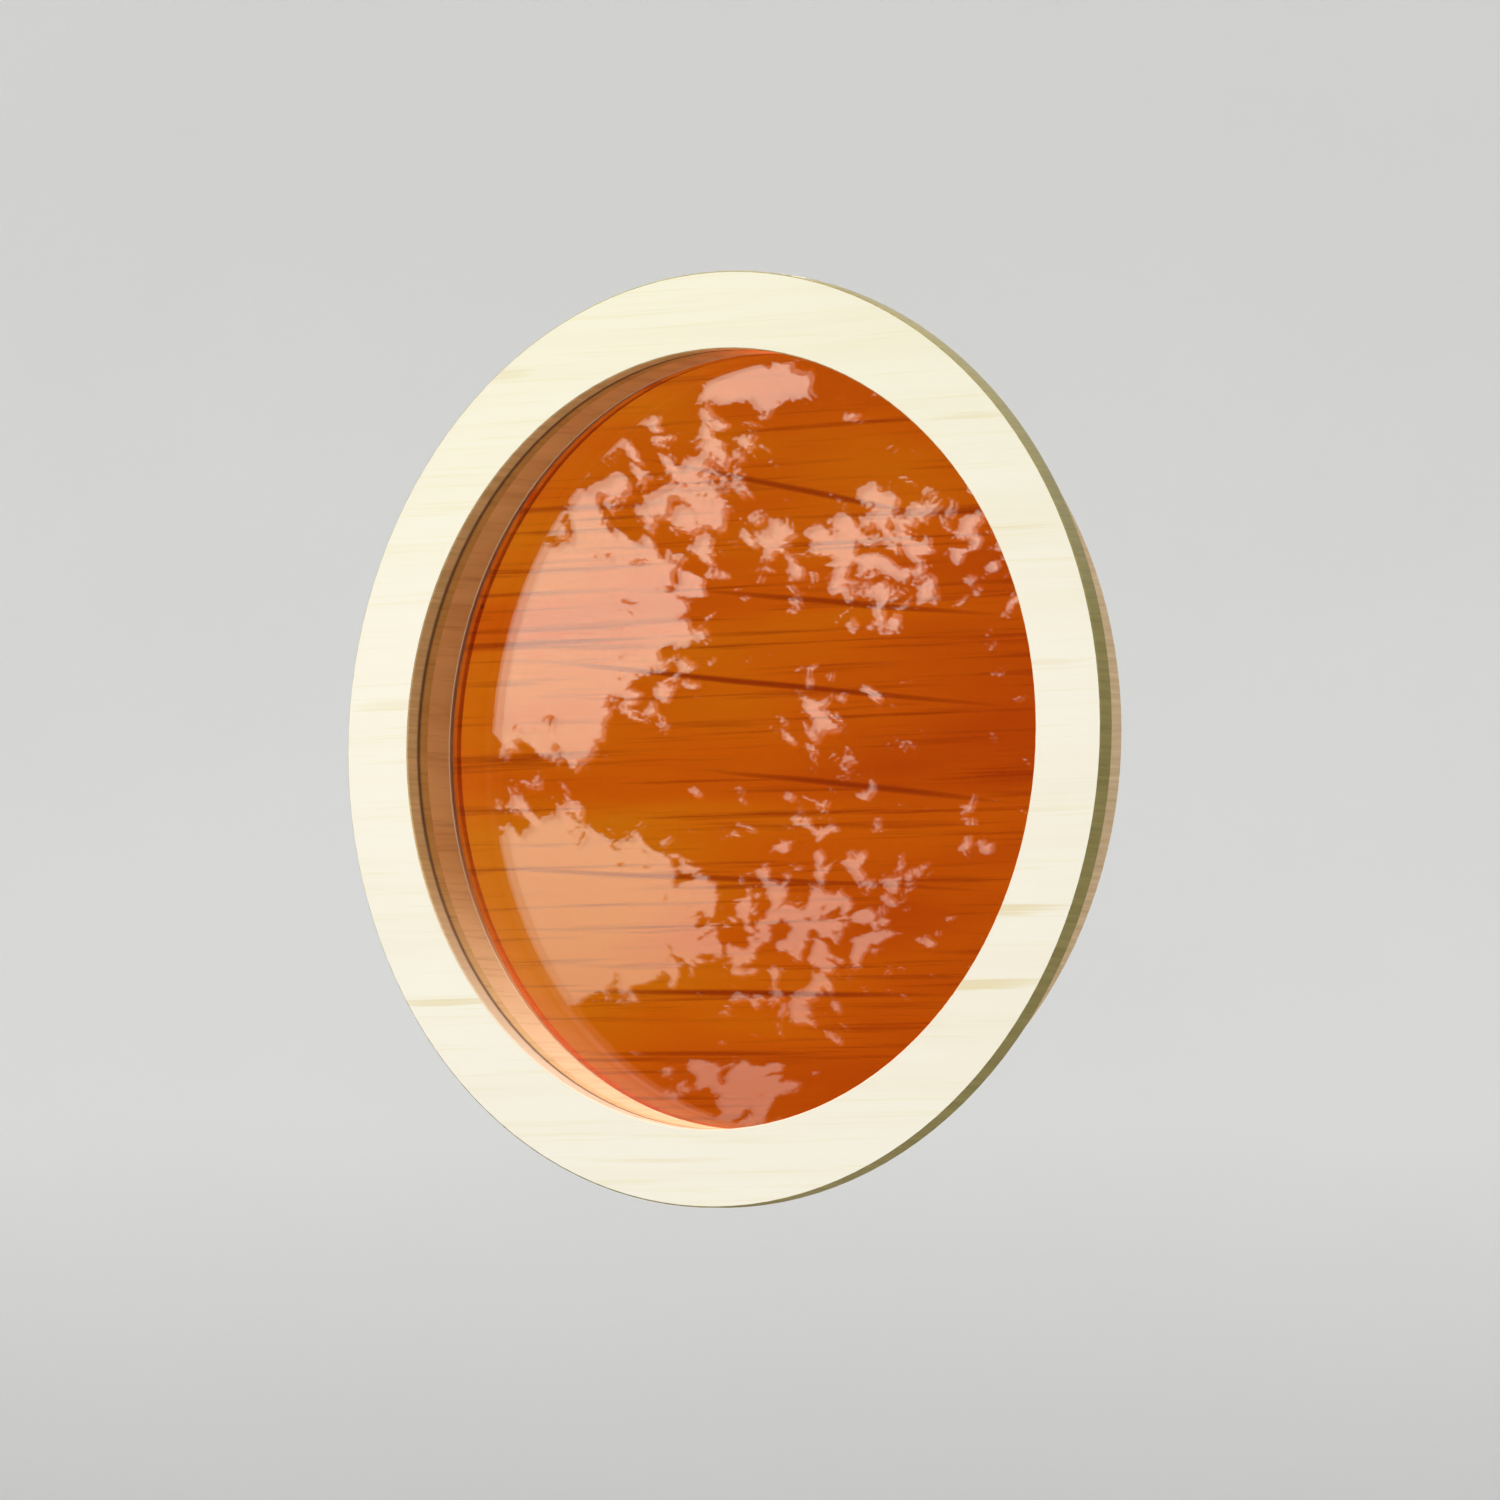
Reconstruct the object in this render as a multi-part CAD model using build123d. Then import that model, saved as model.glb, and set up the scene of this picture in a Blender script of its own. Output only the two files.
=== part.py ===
from build123d import *
import os
from math import degrees, radians

# Round window: a fixed double-glazed light in a timber ring frame.
# X runs to the right and Z up as seen from outdoors, and Y runs from outdoors to the room.
# The origin is on the window's axis, halfway through its depth. All sizes are millimetres.

# Outdoor rings
SIGHT_R = 375.0              # radius of the clear opening
FACE_WIDTH = 75.0            # width of the outdoor ring's flat face
FACE_T = 18.0                # thickness of the outdoor ring
PACKER_T = 14.0              # thickness of the ring behind it
EASED_EDGE = 1.2             # bevel that takes the sharpness off the ring's front edges
SHADOW_CHAMFER = 1.2         # bevel on each side of the joint behind the outdoor ring

# Liner that fills the hole in the wall
LINER_T = 66.0               # depth of the liner behind the packer ring
REVEAL_T = 34.0              # part of that depth in front of the glazing tape
LINER_WALL = 15.0            # wood between the glazing rebate and the wall
ROOM_EDGE = 1.0              # bevel on the liner's room end

# Sealed glazed unit
GLASS_COVER = 13.0           # how far the liner's shoulder laps over the glass
GLASS_EDGE_GAP = 4.0         # room round the glass for the packers
OUTER_GLASS_T = 4.0
INNER_GLASS_T = 4.0
CAVITY_T = 6.0
SEALANT_DEPTH = 4.5          # sealant outside the spacer
SPACER_W = 6.5               # spacer section, measured along the radius
SPACER_WALL = 0.4
PRIMARY_T = 0.3              # thin seal between the spacer and each pane
PRIMARY_W = 4.0
KEY_LENGTH = 60.0            # plug that joins the two ends of the bent spacer
KEY_GAP = 0.1
DESICCANT_GAP = 0.1

# Glazing tapes and bead
FRONT_TAPE_T = 2.0
BACK_TAPE_T = 2.0
TAPE_W = 10.0
BEAD_DEPTH = 14.0
BEAD_STEP = 2.0              # bead stands back from the sight line by this much
BEAD_CHAMFER = 6.0
BEAD_FIT = 0.2               # clearance between the bead and the rebate wall

# Blocks that centre the glass in its rebate
BLOCK_LENGTH = 70.0
BLOCK_WIDTH = 15.0
BLOCK_PLAY = 0.2
SETTING_ANGLE = 32.0         # setting blocks, each side of the lowest point
LOCATION_ANGLE = 48.0        # location blocks, each side of the highest point

# Seal against the wall
SEAL_INSET = 20.0            # distance of its groove from the outdoor ring's rim
SEAL_W = 6.0
SEAL_DEPTH = 3.0
SEAL_SIDE_GAP = 0.1

# Dowels that hold the outdoor rings to the liner
DOWEL_COUNT = 8
DOWEL_R = 4.0
DOWEL_FIT = 0.05
DOWEL_IN_FACE = 10.0
DOWEL_IN_LINER = 16.0
DOWEL_END_GAP = 0.5

# Countersunk screws that hold the bead
SCREW_COUNT = 8
SCREW_R = 1.5
HEAD_R = 3.0
SCREW_LENGTH = 25.0
SCREW_FIT = 0.05             # clearance of shank and head in the wood
SCREW_END_GAP = 0.5
HEAD_SINK = 0.3              # how far each head lies below the wood

# Holes for the screws that fix the window in the wall, hidden behind the glass edge
FIXING_COUNT = 6
FIXING_R = 2.5

# Radii worked out from the driving sizes
FACE_R = SIGHT_R + FACE_WIDTH
GLASS_R = SIGHT_R + GLASS_COVER
REBATE_R = GLASS_R + GLASS_EDGE_GAP
LINER_R = REBATE_R + LINER_WALL
SPACER_R = GLASS_R - SEALANT_DEPTH
BEAD_R = SIGHT_R + BEAD_STEP
DOWEL_CIRCLE_R = (SIGHT_R + LINER_R) / 2

# Depths worked out from the driving sizes, from outdoors to the room
DEPTH = FACE_T + PACKER_T + LINER_T
FRONT = -DEPTH / 2
WALL_OUT = FRONT + FACE_T
LINER_FRONT = WALL_OUT + PACKER_T
SHOULDER = LINER_FRONT + REVEAL_T
OUTER_GLASS = SHOULDER + FRONT_TAPE_T
CAVITY = OUTER_GLASS + OUTER_GLASS_T
INNER_GLASS = CAVITY + CAVITY_T
BACK_TAPE = INNER_GLASS + INNER_GLASS_T
BEAD_FRONT = BACK_TAPE + BACK_TAPE_T
BEAD_BACK = BEAD_FRONT + BEAD_DEPTH
BACK = LINER_FRONT + LINER_T


def section(r_in, r_out, y_front, y_back):
    """Section of a plain ring, with radius along X and depth along Y."""
    place = Pos((r_in + r_out) / 2, (y_front + y_back) / 2)
    return place * Rectangle(r_out - r_in, y_back - y_front)


def corner(sketch, r, y):
    """Corner of a section that lies at this radius and depth."""
    return sketch.vertices().sort_by_distance(Vector(r, y, 0))[0]


def turned(sketch):
    """Ring turned about the window's axis from its section."""
    return revolve(sketch, axis=Axis.Y)


def round_the_axis(shape, angle):
    """Shape turned about the window's axis, clockwise as seen from outdoors."""
    return Rot(0, angle, 0) * shape


def repeated(shape, count):
    """Copies of a shape spaced evenly round the window's axis, half a pitch off the top."""
    pitch = 360 / count
    return [round_the_axis(shape, pitch * (i + 0.5)) for i in range(count)]


def arc_of(sketch, length, radius, angle):
    """Piece of a ring of this arc length, centred on an angle from the lowest point."""
    sweep = degrees(length / radius)
    piece = revolve(sketch, axis=Axis.Y, revolution_arc=sweep)
    return round_the_axis(piece, 90 - sweep / 2 + angle)


def countersunk(gap=0.0, end_gap=0.0):
    """Bead screw along +Z with its head's top at the origin, or its hole with gaps."""
    head = HEAD_R + gap
    shank = SCREW_R + gap
    end = SCREW_LENGTH + end_gap
    outline = Polyline(
        (0, 0),
        (head, 0),
        (shank, HEAD_R - SCREW_R),
        (shank, end - 2 * SCREW_R),
        (0, end),
        close=True,
    )
    return revolve(Plane.XZ * make_face(outline), axis=Axis.Z)


def on_bead(shape):
    """Shape made along +Z, set in the bead's inner face at the top and pointing outwards."""
    depth = (BEAD_FRONT + BEAD_BACK - BEAD_CHAMFER) / 2
    return Pos(0, depth, BEAD_R + HEAD_SINK) * shape


def bead_screws():
    return repeated(on_bead(countersunk()), SCREW_COUNT)


def bead_screw_holes():
    """Countersunk holes, each with a short well that sinks the screw's head."""
    well = Pos(0, 0, -HEAD_SINK) * Cylinder(HEAD_R + SCREW_FIT, 2 * HEAD_SINK)
    hole = countersunk(SCREW_FIT, SCREW_END_GAP) + well
    return repeated(on_bead(hole), SCREW_COUNT)


def fixing_holes():
    """Holes through the rebate wall, halfway along the glass edge."""
    middle = Pos(0, (OUTER_GLASS + BACK_TAPE) / 2, REBATE_R + LINER_WALL / 2)
    return repeated(middle * Cylinder(FIXING_R, 2 * LINER_WALL), FIXING_COUNT)


def dowel(gap=0.0, end_gap=0.0):
    """Dowel across the joint of the outdoor rings and the liner, or its hole with gaps."""
    front = WALL_OUT - DOWEL_IN_FACE - end_gap
    back = LINER_FRONT + DOWEL_IN_LINER + end_gap
    rod = Cylinder(DOWEL_R + gap, back - front)
    place = Pos(0, (front + back) / 2, DOWEL_CIRCLE_R)
    return place * Rot(90, 0, 0) * rod


def dowels():
    return repeated(dowel(), DOWEL_COUNT)


def dowel_holes():
    return repeated(dowel(DOWEL_FIT, DOWEL_END_GAP), DOWEL_COUNT)


def seal_section(side_gap):
    """Section of the wall seal in the outdoor ring's back, or of its groove with no gap."""
    r_out = FACE_R - SEAL_INSET
    return section(r_out - SEAL_W + side_gap, r_out - side_gap, WALL_OUT - SEAL_DEPTH, WALL_OUT)


def outer_face_ring():
    """Broad flat ring seen from outdoors, with its front edges eased."""
    body = section(SIGHT_R, FACE_R, FRONT, WALL_OUT)
    front = [corner(body, SIGHT_R, FRONT), corner(body, FACE_R, FRONT)]
    body = chamfer(front, EASED_EDGE)
    body = chamfer(corner(body, SIGHT_R, WALL_OUT), SHADOW_CHAMFER)
    body = body - seal_section(0)
    return turned(body) - dowel_holes()


def packer_ring():
    """Ring that fills the depth of the wall's outer boards behind the face ring."""
    body = section(SIGHT_R, LINER_R, WALL_OUT, LINER_FRONT)
    body = chamfer(corner(body, SIGHT_R, WALL_OUT), SHADOW_CHAMFER)
    return turned(body) - dowel_holes()


def jamb_liner():
    """Deep ring that lines the hole in the wall and holds the glass against its shoulder."""
    body = section(SIGHT_R, LINER_R, LINER_FRONT, BACK)
    body = body - section(SIGHT_R, REBATE_R, SHOULDER, BACK)
    body = chamfer([corner(body, REBATE_R, BACK), corner(body, LINER_R, BACK)], ROOM_EDGE)
    return turned(body) - dowel_holes() - bead_screw_holes() - fixing_holes()


def glazing_tape(y_front, thickness):
    """Flat tape between a pane and the wood, level with the sight line."""
    return turned(section(SIGHT_R, SIGHT_R + TAPE_W, y_front, y_front + thickness))


def pane(y_front, thickness):
    """Round pane of glass with its axis along Y."""
    return turned(section(0, GLASS_R, y_front, y_front + thickness))


def primary_seal(y_front):
    """Thin seal between the spacer and one pane."""
    middle = SPACER_R - SPACER_W / 2
    r_in = middle - PRIMARY_W / 2
    return turned(section(r_in, r_in + PRIMARY_W, y_front, y_front + PRIMARY_T))


def spacer_section(inset):
    """Spacer's section, drawn smaller by an inset on every side."""
    r_in = SPACER_R - SPACER_W + inset
    y_front = CAVITY + PRIMARY_T + inset
    return section(r_in, SPACER_R - inset, y_front, INNER_GLASS - PRIMARY_T - inset)


def spacer_ring():
    """Hollow metal bar bent to a ring, which holds the panes apart."""
    return turned(spacer_section(0) - spacer_section(SPACER_WALL))


def spacer_key():
    """Plug inside the spacer that joins its two ends at the top."""
    return arc_of(spacer_section(SPACER_WALL + KEY_GAP), KEY_LENGTH, SPACER_R, 180)


def desiccant():
    """Drying beads that fill the rest of the spacer's hollow."""
    fill = spacer_section(SPACER_WALL + DESICCANT_GAP)
    length = radians(360) * SPACER_R - KEY_LENGTH - 2 * KEY_GAP
    return arc_of(fill, length, SPACER_R, 0)


def edge_sealant():
    """Sealant that closes the glazed unit outside the spacer."""
    return turned(section(SPACER_R, GLASS_R, CAVITY, INNER_GLASS))


def glass_block(angle):
    """Block between the glass and the rebate wall, at an angle from the lowest point."""
    y_front = (OUTER_GLASS + BACK_TAPE - BLOCK_WIDTH) / 2
    body = section(GLASS_R, REBATE_R - BLOCK_PLAY, y_front, y_front + BLOCK_WIDTH)
    return arc_of(body, BLOCK_LENGTH, REBATE_R, angle)


def glazing_bead():
    """Ring with a bevelled inner edge that holds the glass in from the room side."""
    body = section(BEAD_R, REBATE_R - BEAD_FIT, BEAD_FRONT, BEAD_BACK)
    body = chamfer(corner(body, BEAD_R, BEAD_BACK), BEAD_CHAMFER)
    return turned(body) - bead_screw_holes()


def one_piece(name, shapes):
    """Named compound of the solids of one node."""
    solids = [solid for shape in shapes for solid in shape.solids()]
    piece = solids[0] if len(solids) == 1 else Compound(children=solids)
    piece.label = name
    return piece


def build():
    """Every piece of the window under the name of its node."""
    pieces = {
        "outer_face_ring": [outer_face_ring()],
        "packer_ring": [packer_ring()],
        "ring_dowels": dowels(),
        "wall_seal": [turned(seal_section(SEAL_SIDE_GAP))],
        "jamb_liner": [jamb_liner()],
        "front_glazing_tape": [glazing_tape(SHOULDER, FRONT_TAPE_T)],
        "outer_pane": [pane(OUTER_GLASS, OUTER_GLASS_T)],
        "outer_primary_seal": [primary_seal(CAVITY)],
        "spacer_ring": [spacer_ring()],
        "spacer_key": [spacer_key()],
        "desiccant": [desiccant()],
        "inner_primary_seal": [primary_seal(INNER_GLASS - PRIMARY_T)],
        "edge_sealant": [edge_sealant()],
        "inner_pane": [pane(INNER_GLASS, INNER_GLASS_T)],
        "setting_block_left": [glass_block(SETTING_ANGLE)],
        "setting_block_right": [glass_block(-SETTING_ANGLE)],
        "location_block_left": [glass_block(180 - LOCATION_ANGLE)],
        "location_block_right": [glass_block(180 + LOCATION_ANGLE)],
        "back_glazing_tape": [glazing_tape(BACK_TAPE, BACK_TAPE_T)],
        "glazing_bead": [glazing_bead()],
        "bead_screws": bead_screws(),
    }
    return {name: one_piece(name, shapes) for name, shapes in pieces.items()}


os.makedirs("parts", exist_ok=True)
for name, piece in build().items():
    export_step(piece, f"parts/{name}.step")
    size = piece.bounding_box().size
    print(f"{name}: {size.X:.1f} x {size.Y:.1f} x {size.Z:.1f} mm")
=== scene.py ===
# %% [markdown]
# # A round window in cream and golden wood
#
# This notebook dresses a finished model of a round window: a flat cream ring,
# a deep golden reveal and amber double glazing. The model's shapes arrive ready
# made and stay as they are, because other people measure and build from them.
# Our job is what the eye adds: grain, gloss, glass, small metalwork and light.

# %% Load the model
from math import cos, pi, radians, sin

import bmesh
import bpy
from mathutils import Euler, Matrix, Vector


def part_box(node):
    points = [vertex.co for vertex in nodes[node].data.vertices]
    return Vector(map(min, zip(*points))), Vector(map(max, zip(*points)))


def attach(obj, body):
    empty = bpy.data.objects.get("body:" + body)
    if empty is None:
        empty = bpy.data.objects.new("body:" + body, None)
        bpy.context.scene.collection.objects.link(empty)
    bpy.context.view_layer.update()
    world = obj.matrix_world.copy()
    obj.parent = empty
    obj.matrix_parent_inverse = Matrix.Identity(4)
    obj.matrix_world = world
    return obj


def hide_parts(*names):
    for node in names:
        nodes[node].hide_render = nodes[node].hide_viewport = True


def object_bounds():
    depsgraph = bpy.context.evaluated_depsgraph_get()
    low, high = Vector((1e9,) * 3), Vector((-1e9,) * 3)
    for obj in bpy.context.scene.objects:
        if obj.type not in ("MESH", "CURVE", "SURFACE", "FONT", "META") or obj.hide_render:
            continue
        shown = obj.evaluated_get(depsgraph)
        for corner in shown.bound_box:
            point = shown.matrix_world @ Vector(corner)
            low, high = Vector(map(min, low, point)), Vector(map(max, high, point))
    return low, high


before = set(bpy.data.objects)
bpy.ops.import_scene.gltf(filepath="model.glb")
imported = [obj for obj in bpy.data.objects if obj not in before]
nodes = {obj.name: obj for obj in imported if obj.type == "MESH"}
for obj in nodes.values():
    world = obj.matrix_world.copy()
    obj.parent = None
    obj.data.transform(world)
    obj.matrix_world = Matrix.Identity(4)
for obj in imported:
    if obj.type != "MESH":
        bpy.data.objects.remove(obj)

print("pieces:", ", ".join(sorted(nodes)))

# %% [markdown]
# A detail that sticks out by a millimetre is easy to miss by eye. So we note
# the model's box before adding anything. All lengths here are metres: X runs to
# the right, Y inwards, Z up.

# %% Measure the bare model
model_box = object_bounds()
FRONT_Y, BACK_Y = model_box[0][1], model_box[1][1]
print("front face at y", round(FRONT_Y, 4), "back at", round(BACK_Y, 4))

# %% [markdown]
# ## The studio
#
# The window hangs at the height where it would be built in, so the floor lies
# well below. A flat floor would end in a hard horizon. A bent sheet, as
# photographers use, works from one side only. We want to walk round the window,
# so we turn the sheet's profile round the vertical axis: a bowl of floor, curve
# and upright side.

# %% Floor and backdrop in one bowl
FLOOR_Z = -1.35
BOWL_FLOOR_RADIUS = 11.0
BOWL_CURVE = 3.5
BOWL_HEIGHT = 7.0
BOWL_SIDES = 128
CURVE_STEPS = 16


def bowl_profile():
    """Points (radius, height) from the floor's rim up the side."""
    points = [(BOWL_FLOOR_RADIUS, 0.0)]
    for step in range(1, CURVE_STEPS + 1):
        turn = pi / 2 * step / CURVE_STEPS
        points.append((BOWL_FLOOR_RADIUS + BOWL_CURVE * sin(turn), BOWL_CURVE * (1 - cos(turn))))
    return points + [(BOWL_FLOOR_RADIUS + BOWL_CURVE, BOWL_HEIGHT)]


def link_mesh(name, bm, crease=180):
    """Turns a bmesh into an object; edges sharper than crease degrees stay sharp."""
    mesh = bpy.data.meshes.new(name)
    for face in bm.faces:
        face.smooth = True
    bm.to_mesh(mesh)
    bm.free()
    mesh.set_sharp_from_angle(angle=radians(crease))
    piece = bpy.data.objects.new(name, mesh)
    bpy.context.scene.collection.objects.link(piece)
    return piece


def make_bowl():
    bm = bmesh.new()
    middle = bm.verts.new((0, 0, FLOOR_Z))
    turns = [2 * pi * i / BOWL_SIDES for i in range(BOWL_SIDES)]
    rings = [
        [bm.verts.new((radius * cos(t), radius * sin(t), FLOOR_Z + height)) for t in turns]
        for radius, height in bowl_profile()
    ]
    for i in range(BOWL_SIDES):
        j = (i + 1) % BOWL_SIDES
        bm.faces.new((middle, rings[0][i], rings[0][j]))
        for low, high in zip(rings, rings[1:]):
            bm.faces.new((low[i], high[i], high[j], low[j]))
    bmesh.ops.recalc_face_normals(bm, faces=bm.faces)
    return link_mesh("studio_bowl", bm)


bowl = make_bowl()
print("bowl faces:", len(bowl.data.polygons))

# %% [markdown]
# ## A small kit for materials
#
# A finish is a node tree: patterns flow through maths and colours into one
# shader. Such trees could be drawn by hand in Blender's node editor. In a script
# a few short helpers do the same, and every finish can be read from its lines.

# %% Start a material and add nodes to it
def start_material(name, roughness=0.5):
    """New material; returns it with its node tree and its main shader."""
    material = bpy.data.materials.new(name)
    material.use_nodes = True
    tree = material.node_tree
    shader = tree.nodes["Principled BSDF"]
    shader.inputs["Roughness"].default_value = roughness
    return material, tree, shader


def add(tree, kind, inputs=None, **settings):
    """Adds a node, sets its options, and fills or links its inputs."""
    node = tree.nodes.new(kind)
    for key, value in settings.items():
        setattr(node, key, value)
    for key, value in (inputs or {}).items():
        if isinstance(value, bpy.types.NodeSocket):
            tree.links.new(value, node.inputs[key])
        else:
            node.inputs[key].default_value = value
    return node

# %% [markdown]
# Every pattern starts from the point on the piece, in the window's own metres.
# Stretching that point before it reaches a noise turns round clouds into long
# fibres, which is most of the art of painting wood with nodes.

# %% Points and patterns
def point(tree):
    """Point on the piece in metres."""
    return add(tree, "ShaderNodeTexCoord").outputs["Object"]


def place(tree, where, scale, offset=(0, 0, 0), turn=(0, 0, 0)):
    """A point stretched, shifted and turned."""
    inputs = {"Vector": where, "Scale": scale, "Location": offset, "Rotation": turn}
    return add(tree, "ShaderNodeMapping", inputs).outputs["Vector"]


def axes_of(tree, vector):
    """The X, Y and Z of a vector as three numbers."""
    return add(tree, "ShaderNodeSeparateXYZ", {0: vector}).outputs


def noise(tree, where, scale=1.0, detail=4.0, rough=0.55, distort=0.0):
    """Soft random pattern from 0 to 1."""
    inputs = {"Vector": where, "Scale": scale, "Detail": detail, "Roughness": rough, "Distortion": distort}
    return add(tree, "ShaderNodeTexNoise", inputs).outputs["Fac"]


def ramp(tree, value, stops):
    """Colours by value: stops are (place, red, green, blue)."""
    node = add(tree, "ShaderNodeValToRGB", {"Fac": value})
    while len(node.color_ramp.elements) < len(stops):
        node.color_ramp.elements.new(0.5)
    for element, (spot, *colour) in zip(node.color_ramp.elements, stops):
        element.position = spot
        element.color = (*colour, 1)
    return node.outputs["Color"]

# %% [markdown]
# The last three helpers reckon and blend. Remap is the workhorse: it says where
# along a number something begins and where it's complete, and stays level
# outside that span.

# %% Sums and blends
def number(tree, kind, *values):
    """One arithmetic step; values are numbers or sockets."""
    return add(tree, "ShaderNodeMath", dict(enumerate(values)), operation=kind).outputs[0]


def remap(tree, value, low, high, to_low=0.0, to_high=1.0):
    """Stretches the span low to high onto to_low to to_high and clamps it."""
    inputs = {"Value": value, "From Min": low, "From Max": high, "To Min": to_low, "To Max": to_high}
    return add(tree, "ShaderNodeMapRange", inputs).outputs["Result"]


def mix(tree, amount, first, second, blend="MIX"):
    """Blends two colours."""
    inputs = {0: amount, 6: first, 7: second}
    return add(tree, "ShaderNodeMix", inputs, data_type="RGBA", blend_type=blend).outputs[2]

# %% [markdown]
# The backdrop is painted board. It needs no eye-catching texture, only a trace
# of unevenness so that it doesn't look like a computer's flat grey. The floor
# catches more light than the upright side, so its paint is darker, and the two
# look alike in the picture.
#
# Glass mirrors the backdrop, and a pale mirror image turns amber milky. The
# paint is therefore dark for rays that have bounced off something shiny, and
# stays pale for all others.

# %% Backdrop finish
FLOOR_BLEND = 1.2


def after_mirror(tree):
    """1 for a ray that has bounced off something shiny, 0 for any other."""
    bounces = add(tree, "ShaderNodeLightPath").outputs["Glossy Depth"]
    return number(tree, "GREATER_THAN", bounces, 0.5)


def make_backdrop():
    material, tree, shader = start_material("pale_backdrop", 0.9)
    cloud = noise(tree, point(tree), 0.7, 3.0)
    paint = ramp(tree, cloud, [(0.3, 0.835, 0.835, 0.825), (0.7, 0.86, 0.86, 0.85)])
    height = axes_of(tree, point(tree))["Z"]
    floorness = remap(tree, height, FLOOR_Z + FLOOR_BLEND, FLOOR_Z)
    colour = mix(tree, floorness, paint, (0.61, 0.61, 0.60, 1))
    mirrored = mix(tree, after_mirror(tree), colour, (0.16, 0.15, 0.13, 1))
    tree.links.new(mirrored, shader.inputs["Base Color"])
    return material


bowl.data.materials.append(make_backdrop())
print("backdrop finish:", bowl.data.materials[0].name)

# %% [markdown]
# ## Wood
#
# Grain is a pattern in space, not paint on a surface: a board's layers run
# through it, and each cut shows them. A picture of grain wrapped round the ring
# would bend with it and give itself away. So all wood here is a pattern of the
# point in space, stretched along X because the boards lie level. A slow sway
# keeps the lines from being ruler straight.

# %% Grain of a level board
SWAY = 0.012


def level_grain(tree, shift):
    """Fine fibre lines and broad bands of a level board, each from 0 to 1."""
    sway = noise(tree, place(tree, point(tree), (2.2, 2, 9), shift), 1.0, 2.0)
    lift = number(tree, "MULTIPLY", number(tree, "SUBTRACT", sway, 0.5), SWAY)
    spot = axes_of(tree, point(tree))
    bent_z = number(tree, "ADD", spot["Z"], lift)
    bent = add(tree, "ShaderNodeCombineXYZ", {0: spot["X"], 1: spot["Y"], 2: bent_z}).outputs[0]
    fibre = noise(tree, place(tree, bent, (4, 9, 300), shift), 1.0, 4.0, 0.55)
    bands = noise(tree, place(tree, bent, (1.2, 6, 36), shift), 1.0, 3.0, 0.5)
    return fibre, bands

# %% [markdown]
# The front ring is pale softwood under a clear satin coat. Its face shows faint
# level lines and here and there a tan flame, where the saw cut a growth layer
# at a flat angle. Noise could scatter flames at random, but then they can't be
# put where a real board has them. So each flame is a long thin ellipse from a
# list, and the fibres break up its edge.

# %% Blots and flames
def blots(tree, x_at, z_at, places):
    """Soft ellipses as one number; places are (x, z, half width, half height, strength)."""
    total = 0.0
    for x, z, half_width, half_height, strength in places:
        along = number(tree, "DIVIDE", number(tree, "SUBTRACT", x_at, x), half_width)
        across = number(tree, "DIVIDE", number(tree, "SUBTRACT", z_at, z), half_height)
        apart = number(tree, "ADD", number(tree, "POWER", along, 2.0), number(tree, "POWER", across, 2.0))
        total = number(tree, "MAXIMUM", total, remap(tree, apart, 1.0, 0.1, 0.0, strength))
    return total


FLAMES = [
    # centre x, centre z, half length, half height, strength
    (0.345, -0.171, 0.085, 0.0055, 0.50),
    (0.310, -0.240, 0.100, 0.0050, 0.55),
    (-0.320, -0.246, 0.090, 0.0045, 0.48),
    (-0.255, 0.362, 0.045, 0.0055, 0.34),
    (0.335, 0.187, 0.080, 0.0040, 0.36),
    (-0.395, 0.045, 0.060, 0.0070, 0.22),
    (0.390, 0.062, 0.055, 0.0045, 0.22),
    (-0.060, -0.402, 0.110, 0.0040, 0.25),
    (0.300, 0.296, 0.060, 0.0035, 0.30),
]
FLAME_RAGGED = 0.006


def flames(tree, fibre, bands):
    """All flames in one number, 0 outside and more in the middle of a strong one."""
    spot = axes_of(tree, point(tree))
    ragged = remap(tree, bands, 0.2, 0.8, -FLAME_RAGGED, FLAME_RAGGED)
    ragged = number(tree, "ADD", ragged, remap(tree, fibre, 0.2, 0.8, -FLAME_RAGGED, FLAME_RAGGED))
    return blots(tree, spot["X"], number(tree, "ADD", spot["Z"], ragged), FLAMES)


print("flames on the ring:", len(FLAMES))

# %% [markdown]
# One piece of wood wears several finishes. The ring's face is cream, its sawn
# rims are tan, and a dark line of painted shade sits in the joint behind it, on
# two small bevels that face each other, where the groove's shadow falls. Each
# finish could have faces and a material of its own. A mask is lighter work: a
# number from 0 to 1 that says how much of a finish belongs at a point, from its
# place or from where the surface looks.

# %% Where a finish begins and ends
JOINT_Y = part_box("packer_ring")[0][1]
JOINT_HALF = 0.0042
JOINT_SHADE = 0.85
SIGHT_RADIUS = 0.375


def radius(tree):
    """Distance from the window's axis."""
    spot = axes_of(tree, point(tree))
    level = add(tree, "ShaderNodeCombineXYZ", {0: spot["X"], 1: spot["Z"]}).outputs[0]
    return add(tree, "ShaderNodeVectorMath", {0: level}, operation="LENGTH").outputs["Value"]


def painted_joint_shade(tree):
    """How much painted shade darkens the bevels behind the front ring; 0 beside them."""
    away = number(tree, "ABSOLUTE", number(tree, "SUBTRACT", axes_of(tree, point(tree))["Y"], JOINT_Y))
    near = remap(tree, away, JOINT_HALF, 0.25 * JOINT_HALF, 0.0, JOINT_SHADE)
    on_reveal = remap(tree, radius(tree), SIGHT_RADIUS + 0.004, SIGHT_RADIUS + 0.002)
    return number(tree, "MULTIPLY", near, on_reveal)


def painted_sunlit_low(tree):
    """Painted sunlight: 0 in the upper half of the window, rising to 1 towards its lowest quarter."""
    return remap(tree, axes_of(tree, point(tree))["Z"], -0.12, -0.30)


def on_face(tree):
    """1 where the surface looks along Y, 0 on rims."""
    normal = axes_of(tree, add(tree, "ShaderNodeNewGeometry").outputs["True Normal"])
    return remap(tree, number(tree, "ABSOLUTE", normal["Y"]), 0.80, 0.95)


print("joint at y", round(JOINT_Y, 4))
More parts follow.
